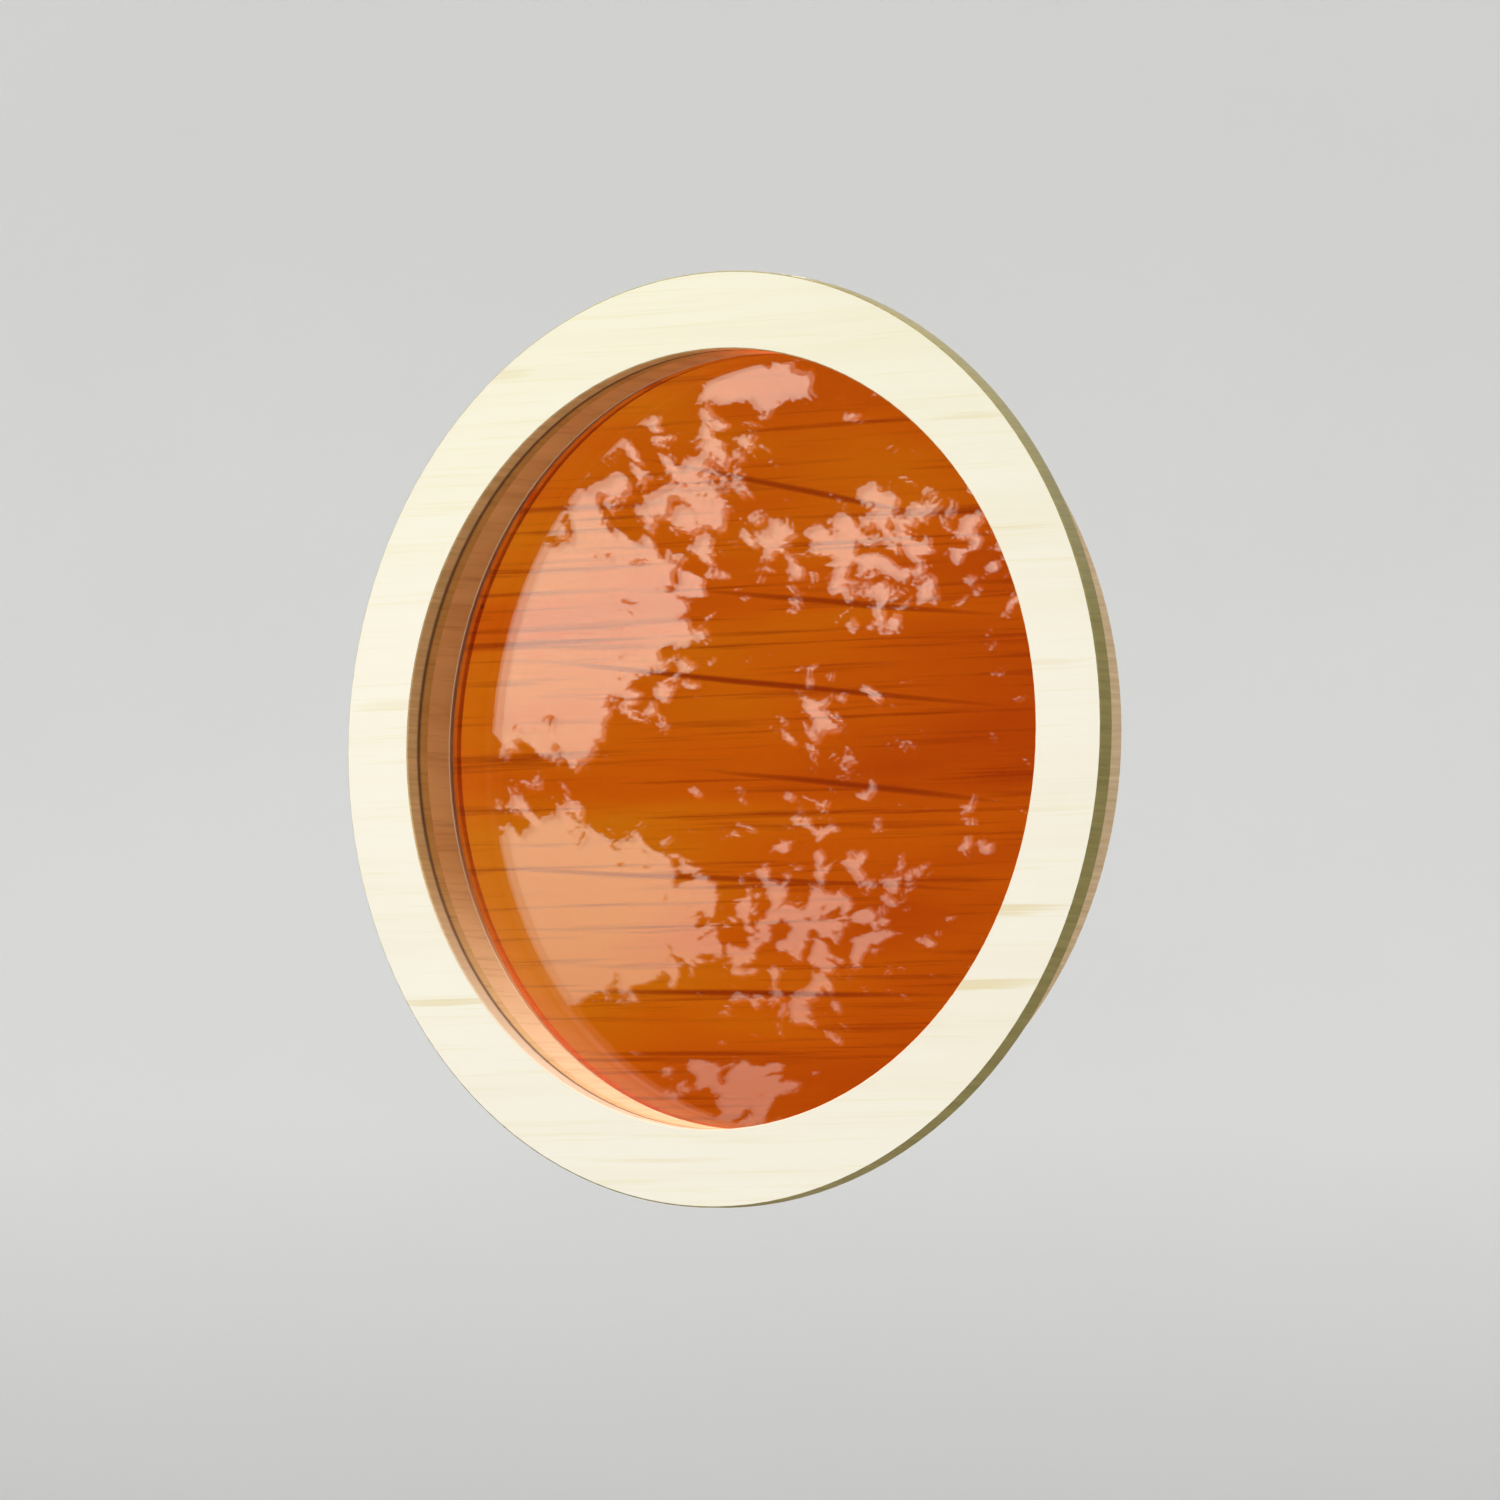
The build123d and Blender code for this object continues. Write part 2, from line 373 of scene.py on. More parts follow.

# %% [markdown]
# The rims drank more of the coat than the face did, so they're tan. The inner
# rim is painted paler low down, as sunlit, and the outer rim is painted darker
# and olive as shade. The upper face is painted a little darker and yellower than
# the lower, a painted shade.

# %% Cream face ring
FIBRE_RELIEF = 0.0002


def bump(tree, height, distance, strength):
    """Surface relief; distance is its depth in metres."""
    inputs = {"Height": height, "Distance": distance, "Strength": strength}
    return add(tree, "ShaderNodeBump", inputs).outputs["Normal"]


def dress(material, *node_names):
    """Gives a material to every slot of these model pieces."""
    for node_name in node_names:
        for slot in nodes[node_name].material_slots:
            slot.material = material
    print(material.name, "on", ", ".join(node_names))


def make_face_wood():
    material, tree, shader = start_material("cream_coated_wood", 0.38)
    fibre, bands = level_grain(tree, (0.0, 0.0, 0.0))
    creams = [(0.30, 0.795, 0.755, 0.625), (0.52, 0.81, 0.775, 0.665), (0.7, 0.815, 0.785, 0.68)]
    pale = ramp(tree, bands, creams)
    line = number(tree, "MULTIPLY", remap(tree, fibre, 0.56, 0.70), 0.40)
    face = mix(tree, line, pale, (0.74, 0.67, 0.42, 1))
    face = mix(tree, flames(tree, fibre, bands), face, (0.66, 0.54, 0.23, 1))
    # painted shade: the upper face is a little darker and yellower than the lower
    painted_top_shade = remap(tree, axes_of(tree, point(tree))["Z"], 0.05, 0.40)
    face = mix(tree, painted_top_shade, face, (0.925, 0.935, 0.87, 1), "MULTIPLY")
    shaded = ramp(tree, fibre, [(0.35, 0.54, 0.35, 0.13), (0.65, 0.68, 0.46, 0.20)])
    # painted sunlight: the inner rim turns paler low down, where the sun would reach it
    inner = mix(tree, painted_sunlit_low(tree), shaded, (0.70, 0.58, 0.42, 1))
    # painted shade: the outer rim is darker and olive, as a rim turned away from the light
    outer = ramp(tree, fibre, [(0.35, 0.26, 0.21, 0.062), (0.65, 0.34, 0.28, 0.092)])
    sawn = mix(tree, remap(tree, radius(tree), 0.40, 0.42), inner, outer)
    colour = mix(tree, on_face(tree), sawn, face)
    # painted shade: a dark line on the bevels where the joint's shadow falls
    colour = mix(tree, painted_joint_shade(tree), colour, (0.12, 0.04, 0.008, 1))
    tree.links.new(colour, shader.inputs["Base Color"])
    tree.links.new(remap(tree, fibre, 0.3, 0.7, 0.34, 0.46), shader.inputs["Roughness"])
    tree.links.new(bump(tree, fibre, FIBRE_RELIEF, 0.4), shader.inputs["Normal"])
    return material


dress(make_face_wood(), "outer_face_ring")

# %% [markdown]
# Behind the face the wood keeps its natural gold. Low down it is painted
# paler, a painted sunlit patch where the high sun reaches into the reveal. The
# packer ring is a shade darker than the liner, so a colour step marks where the
# two meet. Both come from one recipe with other colours and another shift of the
# grain, because no two boards have the same grain. The liner's outside, hidden
# once the window is built in, stays raw and dull.

# %% Golden reveal wood
OUTSIDE_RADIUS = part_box("jamb_liner")[1][0]


def make_reveal_wood(name, dark, light, low, streak, shift):
    material, tree, shader = start_material(name, 0.42)
    fibre, bands = level_grain(tree, shift)
    base = ramp(tree, bands, [(0.3, *dark), (0.7, *light)])
    # painted sunlight: the lower reveal turns paler where the high sun would reach it
    base = mix(tree, painted_sunlit_low(tree), base, (*low, 1))
    line = number(tree, "MULTIPLY", remap(tree, fibre, 0.52, 0.72), 0.45)
    base = mix(tree, line, base, (*streak, 1))
    raw = ramp(tree, fibre, [(0.3, 0.56, 0.38, 0.20), (0.7, 0.72, 0.53, 0.32)])
    outside = remap(tree, radius(tree), OUTSIDE_RADIUS - 0.002, OUTSIDE_RADIUS - 0.001)
    colour = mix(tree, outside, base, raw)
    # painted shade: a dark line on the bevels where the joint's shadow falls
    colour = mix(tree, painted_joint_shade(tree), colour, (0.10, 0.03, 0.006, 1))
    tree.links.new(colour, shader.inputs["Base Color"])
    coated = remap(tree, fibre, 0.3, 0.7, 0.36, 0.50)
    dull = number(tree, "MULTIPLY", outside, 0.3)
    tree.links.new(number(tree, "ADD", coated, dull), shader.inputs["Roughness"])
    tree.links.new(bump(tree, fibre, FIBRE_RELIEF, 0.4), shader.inputs["Normal"])
    return material


# low is the painted sunlit colour of each wood's lower part
packer_wood = make_reveal_wood(
    "golden_packer_wood", dark=(0.48, 0.23, 0.05), light=(0.60, 0.32, 0.08),
    low=(0.70, 0.48, 0.22), streak=(0.30, 0.12, 0.02), shift=(0.3, 0.1, 0.05),
)
liner_wood = make_reveal_wood(
    "golden_liner_wood", dark=(0.66, 0.31, 0.095), light=(0.78, 0.41, 0.145),
    low=(0.82, 0.58, 0.34), streak=(0.42, 0.16, 0.045), shift=(0.7, 0.4, 0.31),
)
dress(packer_wood, "packer_ring")
dress(liner_wood, "jamb_liner", "glazing_bead")

# %% [markdown]
# ## Glass
#
# A sealed unit is two panes with air between. The outer one here is clear float
# glass. The inner one is amber all the way through, with the level streaks and
# the faint waves of drawn sheet. Painting an amber picture behind clear glass
# would look flat from the side. Real tinted glass colours what lies behind it
# and leaves the reflections in the clear pane untinted, and each reflection
# comes twice.
#
# A path tracer can't find a lamp through smooth glass. So for rays that look
# for a lamp, a pane turns into a plain colour filter, and lamp light comes
# through tinted.

# %% Clear glass
GLASS_BENDING = 1.5


def start_glass(name):
    """New material that light passes through and bends in."""
    material, tree, shader = start_material(name, 0.0)
    shader.inputs["Transmission Weight"].default_value = 1.0
    shader.inputs["IOR"].default_value = GLASS_BENDING
    return material, tree, shader


def show_either(tree, choice, first, second):
    """Shows the first shader where choice is 0 and the second where it's 1."""
    both = add(tree, "ShaderNodeMixShader", {0: choice, 1: first.outputs[0], 2: second.outputs[0]})
    tree.links.new(both.outputs[0], tree.nodes["Material Output"].inputs["Surface"])


def let_lamps_through(tree, shader, filter_colour):
    """Makes the glass a plain colour filter for rays that look for a lamp."""
    colour_filter = add(tree, "ShaderNodeBsdfTransparent", {"Color": filter_colour})
    seeks_lamp = add(tree, "ShaderNodeLightPath").outputs["Is Shadow Ray"]
    show_either(tree, seeks_lamp, shader, colour_filter)


def make_clear_glass():
    material, tree, shader = start_glass("clear_float_glass")
    haze = noise(tree, point(tree), 6.0, 1.0)
    colour = ramp(tree, haze, [(0.3, 0.955, 0.975, 0.965), (0.7, 0.97, 0.985, 0.975)])
    tree.links.new(colour, shader.inputs["Base Color"])
    let_lamps_through(tree, shader, (0.92, 0.94, 0.93, 1))
    return material


dress(make_clear_glass(), "outer_pane")

# %% [markdown]
# Most of the amber's streaks are a stretched noise, turned a little because the
# sheet was cut a little askew. Seven long dark ones are listed one by one, each
# with its own tilt, as a melt that was stirred unevenly leaves them. They use the
# flames' recipe: an ellipse, very long and very thin, that wavers slightly.

# %% Amber glass
STREAK_SLOPE = radians(7.5)
LONG_STREAKS = [
    # centre x, centre z, half length, half height, rise per metre, strength
    (0.045, 0.243, 0.20, 0.0040, -0.200, 0.75),
    (0.100, 0.131, 0.19, 0.0038, -0.100, 0.75),
    (0.000, 0.057, 0.30, 0.0038, -0.114, 0.85),
    (0.110, -0.046, 0.19, 0.0038, -0.112, 0.75),
    (-0.050, -0.130, 0.33, 0.0034, -0.063, 0.70),
    (-0.010, -0.242, 0.24, 0.0040, -0.030, 0.85),
    (-0.070, -0.301, 0.16, 0.0032, -0.015, 0.60),
]
STREAK_WAVER = 0.004


def long_streaks(tree, broad):
    """All long streaks in one number, as for the flames."""
    spot = axes_of(tree, point(tree))
    waver = remap(tree, broad, 0.2, 0.8, -STREAK_WAVER, STREAK_WAVER)
    level = number(tree, "ADD", spot["Z"], waver)
    total = 0.0
    for x, z, half_length, half_height, rise, strength in LONG_STREAKS:
        beside = number(tree, "SUBTRACT", spot["X"], x)
        tilted = number(tree, "SUBTRACT", level, number(tree, "MULTIPLY", beside, rise))
        streak = blots(tree, spot["X"], tilted, [(x, z, half_length, half_height, strength)])
        total = number(tree, "MAXIMUM", total, streak)
    return total


def make_amber_glass():
    material, tree, shader = start_glass("amber_sheet_glass")
    turn = (0, STREAK_SLOPE, 0)
    broad = noise(tree, place(tree, point(tree), (1.3, 1, 8.5), (0.2, 0, 0.37), turn), 1.0, 3.0, 0.5, 0.3)
    fine = noise(tree, place(tree, point(tree), (2.4, 1, 120), (0.5, 0, 0.11), turn), 1.0, 4.0, 0.6)
    drift = remap(tree, axes_of(tree, point(tree))["X"], -0.35, 0.35, 0.11, -0.13)
    ambers = [(0.28, 0.76, 0.088, 0.0005), (0.50, 0.95, 0.155, 0.0008), (0.70, 1.0, 0.25, 0.003)]
    tone = ramp(tree, number(tree, "ADD", broad, drift), ambers)
    dark = number(tree, "MULTIPLY", remap(tree, fine, 0.53, 0.72), 0.75)
    dark = number(tree, "MAXIMUM", dark, long_streaks(tree, broad))
    colour = mix(tree, dark, tone, (0.42, 0.03, 0.0003, 1))
    tree.links.new(colour, shader.inputs["Base Color"])
    wave = noise(tree, place(tree, point(tree), (1.5, 1, 5), (0, 0, 0), turn), 1.0, 0.0)
    tree.links.new(bump(tree, wave, 0.0006, 0.3), shader.inputs["Normal"])
    let_lamps_through(tree, shader, (0.70, 0.21, 0.03, 1))
    return material


dress(make_amber_glass(), "inner_pane")

# %% [markdown]
# ## Small parts
#
# Between glass and wood lie foam tape, tan sealant and plastic blocks, and a
# rubber seal runs round the ring's back. They're small and mostly hidden, so
# carving them would be wasted. Their surface is a fine foam or a drawn skin, and
# a speckle in colour and height is enough. One recipe serves them all: the
# grain and the stretch of the speckle make the difference.

# %% Soft and moulded finishes
def make_speckled(name, dark, light, roughness, grain, depth, metallic=0.0, stretch=(1, 1, 1)):
    """Two close tones and a shallow relief from one fine noise."""
    material, tree, shader = start_material(name, roughness)
    shader.inputs["Metallic"].default_value = metallic
    speckle = noise(tree, place(tree, point(tree), stretch), grain, 4.0, 0.6)
    tree.links.new(ramp(tree, speckle, [(0.3, *dark), (0.7, *light)]), shader.inputs["Base Color"])
    rough = remap(tree, speckle, 0.3, 0.7, roughness + 0.08, roughness - 0.05)
    tree.links.new(rough, shader.inputs["Roughness"])
    tree.links.new(bump(tree, speckle, depth, 0.5), shader.inputs["Normal"])
    return material


SMALL_FINISHES = [
    # name, dark, light, roughness, grain, relief, stretch, pieces
    ("pale_tan_foam_tape", (0.78, 0.58, 0.36), (0.88, 0.70, 0.48), 0.75, 900, 0.0002, (1, 1, 1),
     ["front_glazing_tape", "back_glazing_tape"]),
    ("tan_sealant", (0.42, 0.21, 0.08), (0.50, 0.27, 0.11), 0.5, 160, 0.0002, (1, 1, 1),
     ["edge_sealant", "outer_primary_seal", "inner_primary_seal"]),
    ("drawn_black_rubber", (0.018, 0.018, 0.019), (0.035, 0.035, 0.036), 0.6, 160, 0.0002, (1, 9, 1),
     ["wall_seal"]),
    ("moulded_blue_plastic", (0.09, 0.17, 0.38), (0.12, 0.22, 0.47), 0.4, 350, 0.00006, (1, 1, 1),
     ["setting_block_left", "setting_block_right", "location_block_left", "location_block_right",
      "spacer_key"]),
    ("beech_rod", (0.50, 0.31, 0.16), (0.64, 0.43, 0.25), 0.6, 60, 0.0002, (6, 1, 6), ["ring_dowels"]),
]
for name, dark, light, roughness, grain, relief, stretch, pieces in SMALL_FINISHES:
    dress(make_speckled(name, dark, light, roughness, grain, relief, stretch=stretch), *pieces)

# %% [markdown]
# The back tape lies against the amber pane, and light comes to its pressed face
# only from within the glass. A real sheet spreads plenty of light that way. A
# path tracer finds little of it, and would leave a black line round the glass.
# So the pressed face gets a weak glow in the tape's own tones, and the rest of
# the tape gets none. Nothing needs that glow as a lamp, so the renderer is told
# not to aim at it, which saves much time.

# %% Light behind the pressed tape
PRESSED_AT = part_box("inner_pane")[1][1]
PRESSED_WITHIN = 0.0002
PRESSED_GLOW = 0.22


def glow_where_pressed(node_name):
    """Adds the glow to the face of a tape that touches the inner pane."""
    material = nodes[node_name].material_slots[0].material
    material.cycles.emission_sampling = "NONE"
    tree = material.node_tree
    shader = tree.nodes["Principled BSDF"]
    tree.links.new(shader.inputs["Base Color"].links[0].from_socket, shader.inputs["Emission Color"])
    pressed = number(tree, "COMPARE", axes_of(tree, point(tree))["Y"], PRESSED_AT, PRESSED_WITHIN)
    tree.links.new(number(tree, "MULTIPLY", pressed, PRESSED_GLOW), shader.inputs["Emission Strength"])


glow_where_pressed("back_glazing_tape")
print("tape pressed to the glass at", round(PRESSED_AT, 4), "m")

# %% [markdown]
# The spacer between the panes is full of drying beads, little balls packed
# close. Thousands of real balls would slow the scene for something hardly ever
# seen. A cell pattern gives each ball its own tone, and the distance to a
# cell's middle gives its round top.

# %% Drying beads
BEADS_PER_METRE = 900.0


def make_beads():
    material, tree, shader = start_material("pale_drying_beads", 0.8)
    cells = add(tree, "ShaderNodeTexVoronoi", {"Vector": point(tree), "Scale": BEADS_PER_METRE})
    tone = axes_of(tree, cells.outputs["Color"])["X"]
    colour = ramp(tree, tone, [(0.0, 0.62, 0.55, 0.43), (1.0, 0.80, 0.75, 0.64)])
    tree.links.new(colour, shader.inputs["Base Color"])
    top = number(tree, "SUBTRACT", 1.0, cells.outputs["Distance"])
    tree.links.new(bump(tree, top, 0.0005, 0.8), shader.inputs["Normal"])
    return material


dress(make_beads(), "desiccant")

# %% [markdown]
# The spacer bar itself is rolled aluminium with a golden brown finish. Its
# inner side has a row of pinholes, through which the beads dry the air. Drilling
# a thousand holes would cost a thousand cuts. Angle times radius gives the way
# round the ring, wrapping that number at the hole spacing repeats one hole all
# the way, and a dark dot of painted shade, standing for the hole's dark inside,
# is enough at this size.

# %% Golden brown spacer
SPACER_RADIUS = 0.377
HOLE_SPACING = 0.0022
HOLE_RADIUS = 0.0004
SPACER_LOW, SPACER_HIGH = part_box("spacer_ring")
SPACER_Y = (SPACER_LOW[1] + SPACER_HIGH[1]) / 2


def make_spacer():
    material, tree, shader = start_material("golden_brown_spacer", 0.35)
    spot = axes_of(tree, point(tree))
    turn = number(tree, "ARCTAN2", spot["Z"], spot["X"])
    way = number(tree, "MULTIPLY", turn, SPACER_RADIUS)
    way = number(tree, "WRAP", way, HOLE_SPACING / 2, -HOLE_SPACING / 2)
    side = number(tree, "SUBTRACT", spot["Y"], SPACER_Y)
    apart = number(tree, "ADD", number(tree, "POWER", way, 2.0), number(tree, "POWER", side, 2.0))
    inner_side = number(tree, "LESS_THAN", radius(tree), SPACER_RADIUS + 0.0001)
    # painted shade: each pinhole is a near-black dot for its dark inside
    dot = remap(tree, apart, HOLE_RADIUS ** 2, 0.5 * HOLE_RADIUS ** 2)
    pinhole_shade = number(tree, "MULTIPLY", inner_side, dot)
    lines = noise(tree, place(tree, point(tree), (3, 900, 3)), 1.0, 3.0)
    finish = ramp(tree, lines, [(0.3, 0.70, 0.46, 0.24), (0.7, 0.80, 0.55, 0.30)])
    tree.links.new(mix(tree, pinhole_shade, finish, (0.01, 0.008, 0.006, 1)), shader.inputs["Base Color"])
    shader.inputs["Metallic"].default_value = 0.3
    tree.links.new(remap(tree, lines, 0.3, 0.7, 0.30, 0.44), shader.inputs["Roughness"])
    tree.links.new(bump(tree, lines, 0.00005, 0.4), shader.inputs["Normal"])
    return material


dress(make_spacer(), "spacer_ring")
print("pinholes round the spacer:", round(2 * pi * SPACER_RADIUS / HOLE_SPACING))

# %% [markdown]
# ## Screws
#
# Eight brass screws hold the bead at the back. Each one has a countersunk
# head with a cross recess, and a thread that runs out into a point. The thread
# could be a swept profile, but sweeps fold over at the point. It's simpler to
# let each point's radius depend on its depth and its turn. When the two are
# tied together, the crest winds round the shank as one clean helix.

# %% Outline of one screw
HEAD_RADIUS, SHANK_RADIUS = 0.0030, 0.0015
HEAD_DEPTH = HEAD_RADIUS - SHANK_RADIUS
HEAD_EDGE = 0.0001
SCREW_LENGTH, POINT_LENGTH = 0.025, 0.003
THREAD_START, PITCH, THREAD_CUT = 0.006, 0.0012, 0.30
SCREW_SIDES = 24
CROSS_HALF, CROSS_REACH, CROSS_DEPTH = 0.00030, 0.0017, 0.0013


def screw_radius(depth, turn):
    """Radius at a depth below the head's top, with the thread cut in."""
    if depth < HEAD_DEPTH:
        return HEAD_RADIUS - max(depth, HEAD_EDGE)
    taper = min(1.0, (SCREW_LENGTH - depth) / POINT_LENGTH)
    winding = (depth / PITCH - turn / (2 * pi)) % 1.0
    cut = THREAD_CUT * abs(2 * winding - 1) if depth > THREAD_START else 0.0
    return SHANK_RADIUS * taper * (1 - cut)


def cross_outline(scale, depth):
    """Twelve corners of a cross, clockwise."""
    h, r = CROSS_HALF * scale, CROSS_REACH * scale
    right_arm, low_arm = [(h, h), (r, h), (r, -h)], [(h, -h), (h, -r), (-h, -r)]
    left_arm, top_arm = [(-h, -h), (-r, -h), (-r, h)], [(-h, h), (-h, r), (h, r)]
    return [(x, y, depth) for x, y in right_arm + low_arm + left_arm + top_arm]


for depth in (0.0, 0.0015, 0.01, 0.024):
    print("screw radius at", depth, "is", round(screw_radius(depth, 0.0), 5))

# %% [markdown]
# The mesh stacks rings of points along the depth and joins neighbours with
# four-sided faces. The flat head is the gap between its round rim and the
# cross. Triangle fill closes such a gap, hole and all, in one call. The walls of
# the cross slope inwards to a smaller floor, as a driver's tip does.

# %% Mesh of one screw
STEPS_PER_TURN = 8
CROSS_CORNERS = 12
CROSS_FLOOR = 0.55


def make_screw():
    """One screw along +Z with its head's top at zero."""
    bm = bmesh.new()
    turns = [2 * pi * i / SCREW_SIDES for i in range(SCREW_SIDES)]
    step = PITCH / STEPS_PER_TURN
    steps = int((SCREW_LENGTH - HEAD_DEPTH - HEAD_EDGE) / step)
    depths = [0.0, HEAD_EDGE] + [HEAD_DEPTH + step * i for i in range(steps)]
    rings = []
    for depth in depths:
        radii = [screw_radius(depth, turn) for turn in turns]
        rings.append([bm.verts.new((r * cos(t), r * sin(t), depth)) for r, t in zip(radii, turns)])
    for near, far in zip(rings, rings[1:]):
        for i in range(SCREW_SIDES):
            j = (i + 1) % SCREW_SIDES
            bm.faces.new((near[i], near[j], far[j], far[i]))
    tip = bm.verts.new((0, 0, SCREW_LENGTH))
    for i in range(SCREW_SIDES):
        bm.faces.new((rings[-1][i], rings[-1][(i + 1) % SCREW_SIDES], tip))
    mouth = [bm.verts.new(corner) for corner in cross_outline(1.0, 0.0)]
    floor = [bm.verts.new(corner) for corner in cross_outline(CROSS_FLOOR, CROSS_DEPTH)]
    rims = [bm.edges.new((mouth[i], mouth[(i + 1) % CROSS_CORNERS])) for i in range(CROSS_CORNERS)]
    rims += [bm.edges.get((rings[0][i], rings[0][(i + 1) % SCREW_SIDES])) for i in range(SCREW_SIDES)]
    bmesh.ops.triangle_fill(bm, use_beauty=True, edges=rims)
    for i in range(CROSS_CORNERS):
        j = (i + 1) % CROSS_CORNERS
        bm.faces.new((mouth[i], mouth[j], floor[j], floor[i]))
    bm.faces.new(floor)
    bmesh.ops.recalc_face_normals(bm, faces=bm.faces)
    return bm


trial = make_screw()
print("faces in one screw:", len(trial.faces))
trial.free()

# %% [markdown]
# The screws point outwards from the window's axis. Linked copies would save
# memory, but one mesh can stand in for the model's one group of screws. Each
# screw is turned a little about itself, because no one stops eight screws at
# the same angle.

# %% Set the screws round the bead
SCREW_COUNT = 8
HEAD_TOP = 0.3773
SCREWS_LOW, SCREWS_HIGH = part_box("bead_screws")
SCREW_Y = (SCREWS_LOW[1] + SCREWS_HIGH[1]) / 2
HEAD_CREASE = 40
CROSS_TURN = 47


def place_screws():
    together = bmesh.new()
    for i in range(SCREW_COUNT):
        one = make_screw()
        about_itself = Matrix.Rotation(radians(CROSS_TURN * i), 4, "Z")
        to_bead = Matrix.Translation((0, 0, HEAD_TOP))
        outwards = Matrix.Rotation(2 * pi * (i + 0.5) / SCREW_COUNT, 4, "Y")
        to_depth = Matrix.Translation((0, SCREW_Y, 0))
        spot = to_depth @ outwards @ to_bead @ about_itself
        bmesh.ops.transform(one, matrix=spot, verts=one.verts)
        mesh = bpy.data.meshes.new("one_screw")
        one.to_mesh(mesh)
        one.free()
        together.from_mesh(mesh)
        bpy.data.meshes.remove(mesh)
    return link_mesh("brass_bead_screws", together, HEAD_CREASE)


screws = place_screws()
brass = make_speckled("satin_brass", (0.62, 0.42, 0.16), (0.78, 0.56, 0.25), 0.30, 500, 0.00003, metallic=1.0)
screws.data.materials.append(brass)
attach(screws, "root")
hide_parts("bead_screws")
print("screw triangles:", sum(len(face.vertices) - 2 for face in screws.data.polygons))

# %% [markdown]
# ## Light
#
# High sunlight from the upper left brightens the cream face and the lower part
# of the reveal, and leaves the upper part in shade. A sun lamp would draw hard
# shadows, so a big soft box high on the left plays the sun. A second one behind
# the window shines through the amber glass and warms the shaded wood. The white
# air and the pale bowl fill the rest.

# %% Lights
BOX_SPREAD = radians(70)
AIR_BRIGHTNESS = 0.98


def aim_at_window(lamp):
    """Turns a lamp so that it looks at the window's middle."""
    way = -lamp.location
    lamp.rotation_euler = way.to_track_quat("-Z", "Y").to_euler()


def soft_box(name, spot, size, watts, colour):
    light = bpy.data.lights.new(name, "AREA")
    light.shape = "RECTANGLE"
    light.size = size
    light.size_y = size
    light.energy = watts
    light.spread = BOX_SPREAD
    light.color = colour
    lamp = bpy.data.objects.new(name, light)
    lamp.location = spot
    aim_at_window(lamp)
    lamp.visible_camera = False
    lamp.visible_transmission = False
    bpy.context.scene.collection.objects.link(lamp)


soft_box("key_soft_box", (-1.9, -3.0, 4.4), 1.2, 40, (1.0, 0.97, 0.92))
soft_box("room_soft_box", (-3.0, 3.6, 0.6), 1.4, 31, (1.0, 0.95, 0.88))
world = bpy.data.worlds.new("studio_air")
world.use_nodes = True
air_light = world.node_tree.nodes["Background"]
air_light.inputs["Color"].default_value = (1.0, 1.0, 1.0, 1)
air_light.inputs["Strength"].default_value = AIR_BRIGHTNESS
bpy.context.scene.world = world
bpy.context.scene.view_settings.view_transform = "Standard"

# %% [markdown]
# Glass shows what it mirrors, and in an empty studio that is nothing. Real
# window glass shows patches of broken brightness. A lamp behind a cut card would
# throw them as light on the wood too. So a dark curved screen stands round the
# front of the studio, and bright dapples on it show in the glass alone. Only a
# ray that has bounced off something shiny may see the screen. Any other ray
# passes through it, so it's never in the picture.
#
# Broad blots say where on the pane the brightness gathers. Two noises break
# them up, one into islands and one into small flecks, and a steep remap gives
# them crisp edges. Low down the patches glow less. As with the tape's glow, the
# renderer is told not to aim at the screen, because no wood is lit by it.

# %% Finish of the screen
SCREEN_RADIUS = 10.8
SCREEN_HALF_TURN = radians(100)
SCREEN_STEPS = 40
SCREEN_LOW, SCREEN_HIGH = -1.3, 4.5
DAPPLES = [
    # place on the pane: x, z, half width, half height, strength
    (-0.25, 0.10, 0.22, 0.13, 0.24),
    (-0.24, -0.17, 0.22, 0.10, 0.24),
    (0.00, 0.345, 0.07, 0.026, 0.20),
    (-0.12, 0.26, 0.16, 0.07, 0.07),
    (0.14, 0.19, 0.26, 0.09, 0.08),
    (-0.03, -0.34, 0.10, 0.05, 0.10),
    (0.06, -0.20, 0.16, 0.10, 0.07),
]
# spans of the screen that the camera sees mirrored on one metre of pane
ACROSS_SCREEN = (-0.4385, 1.2165)
UP_SCREEN = (-0.4775, 1.5875)
SIDEWAYS = (0.78, 0.62)
PATCH_EDGE = (0.58, 0.60)
PATCH_GLOW = 2.4


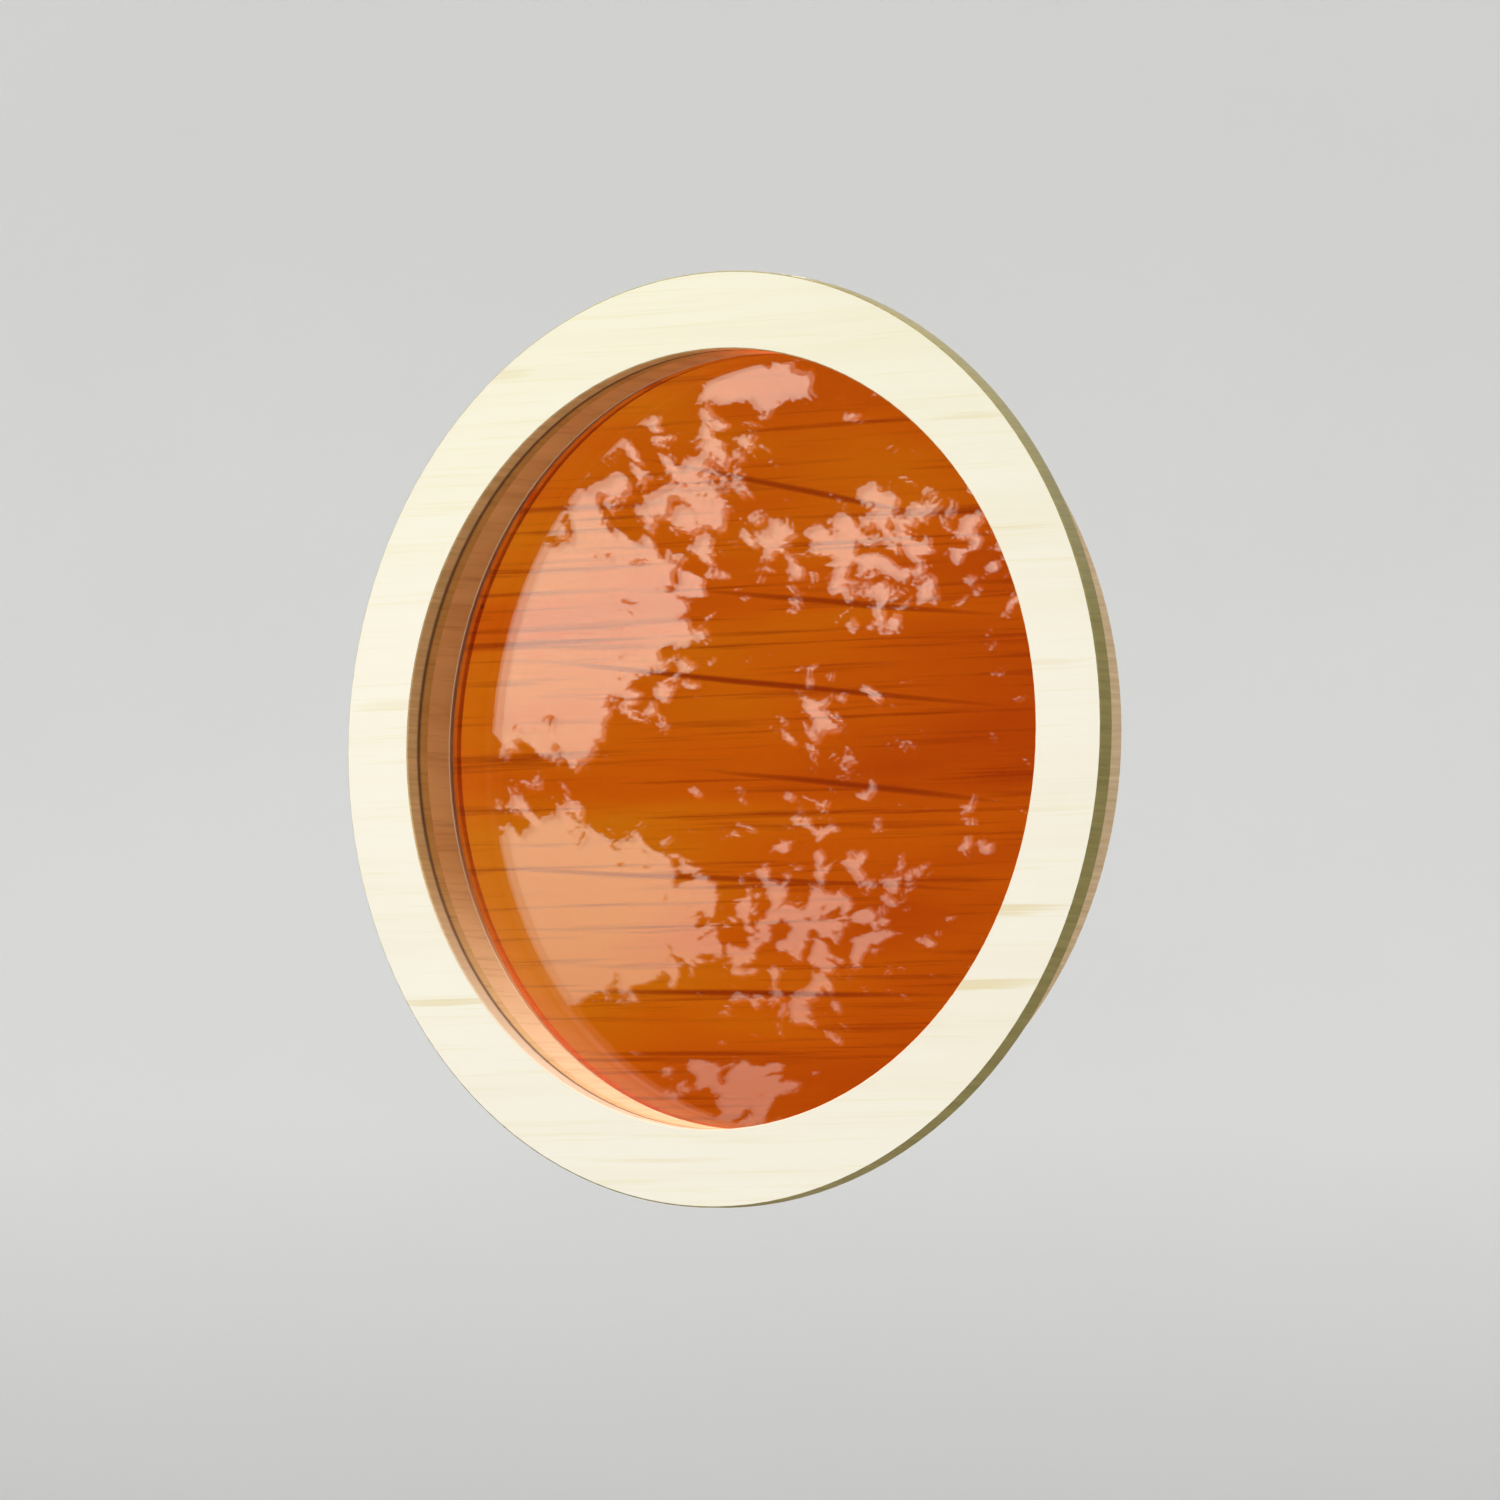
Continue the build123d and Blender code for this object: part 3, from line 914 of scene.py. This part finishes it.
def make_screen_finish():
    material, tree, shader = start_material("dappled_screen_finish", 0.9)
    material.cycles.emission_sampling = "NONE"
    shader.inputs["Base Color"].default_value = (0.02, 0.02, 0.02, 1)
    shader.inputs["Emission Color"].default_value = (0.98, 1.0, 0.84, 1)
    spot = axes_of(tree, point(tree))
    from_x = number(tree, "MULTIPLY", spot["X"], SIDEWAYS[0])
    from_y = number(tree, "MULTIPLY", spot["Y"], SIDEWAYS[1])
    pane_x = remap(tree, number(tree, "SUBTRACT", from_x, from_y), *ACROSS_SCREEN, -0.5, 0.5)
    pane_z = remap(tree, spot["Z"], *UP_SCREEN, -0.5, 0.5)
    islands = noise(tree, place(tree, point(tree), (1, 1, 1), (9.3, 1, 6.6)), 3.0, 4.0, 0.6)
    islands = remap(tree, islands, 0.2, 0.8, 0.36, 0.64)
    flecks = noise(tree, place(tree, point(tree), (1, 1, 1), (2.1, 4, 0.6)), 22.0, 3.0, 0.6, 0.4)
    flecks = remap(tree, flecks, 0.2, 0.8, -0.15, 0.15)
    broken = number(tree, "ADD", islands, flecks)
    patches = number(tree, "ADD", broken, blots(tree, pane_x, pane_z, DAPPLES))
    glow = remap(tree, patches, *PATCH_EDGE, 0.0, PATCH_GLOW)
    weaker_low = remap(tree, pane_z, -0.34, 0.08, 0.42, 1.0)
    tree.links.new(number(tree, "MULTIPLY", glow, weaker_low), shader.inputs["Emission Strength"])
    show_either(tree, after_mirror(tree), add(tree, "ShaderNodeBsdfTransparent"), shader)
    return material


print("dapples to place:", len(DAPPLES))

# %% [markdown]
# The screen is a strip of flat panels on a circle. A flat card would do for one
# camera. A curved one serves every view of the front.

# %% Screen for the glass to mirror
def make_screen():
    bm = bmesh.new()
    columns = []
    for step in range(SCREEN_STEPS + 1):
        turn = -pi / 2 + SCREEN_HALF_TURN * (2 * step / SCREEN_STEPS - 1)
        x, y = SCREEN_RADIUS * cos(turn), SCREEN_RADIUS * sin(turn)
        columns.append([bm.verts.new((x, y, z)) for z in (SCREEN_LOW, SCREEN_HIGH)])
    for left, right in zip(columns, columns[1:]):
        bm.faces.new((left[0], right[0], right[1], left[1]))
    piece = link_mesh("dappled_screen", bm)
    piece.data.materials.append(make_screen_finish())
    for sight in ("camera", "diffuse", "shadow", "volume_scatter"):
        setattr(piece, "visible_" + sight, False)
    return piece


screen = make_screen()
print("screen panels:", len(screen.data.polygons))

# %% [markdown]
# ## Camera
#
# The view is from the right and from a little below, so the circle becomes an
# upright ellipse, wide open enough to show the left of the reveal. A short lens
# close by would swell the near side of the ring. A long lens from ten metres
# away keeps both sides alike.

# %% Camera
CAMERA_SPOT = (6.019, -8.161, -0.521)
CAMERA_TURN = 36.38
CAMERA_RISE = 2.89
LENS = 252.9

camera = bpy.data.objects.new("camera", bpy.data.cameras.new("camera"))
camera.data.lens = LENS
camera.data.sensor_width = 36.0
camera.data.clip_end = 100.0
camera.location = CAMERA_SPOT
camera.rotation_euler = Euler((radians(90 + CAMERA_RISE), 0, radians(CAMERA_TURN)))
bpy.context.scene.collection.objects.link(camera)
bpy.context.scene.camera = camera
print("camera at", CAMERA_SPOT)

# %% [markdown]
# ## Done
#
# The box of the dressed window has to match the box that we noted first. Here
# the noted box is printed, corner by corner.

# %% Print the bare box
print("bare box:", [[round(v, 4) for v in corner] for corner in model_box])
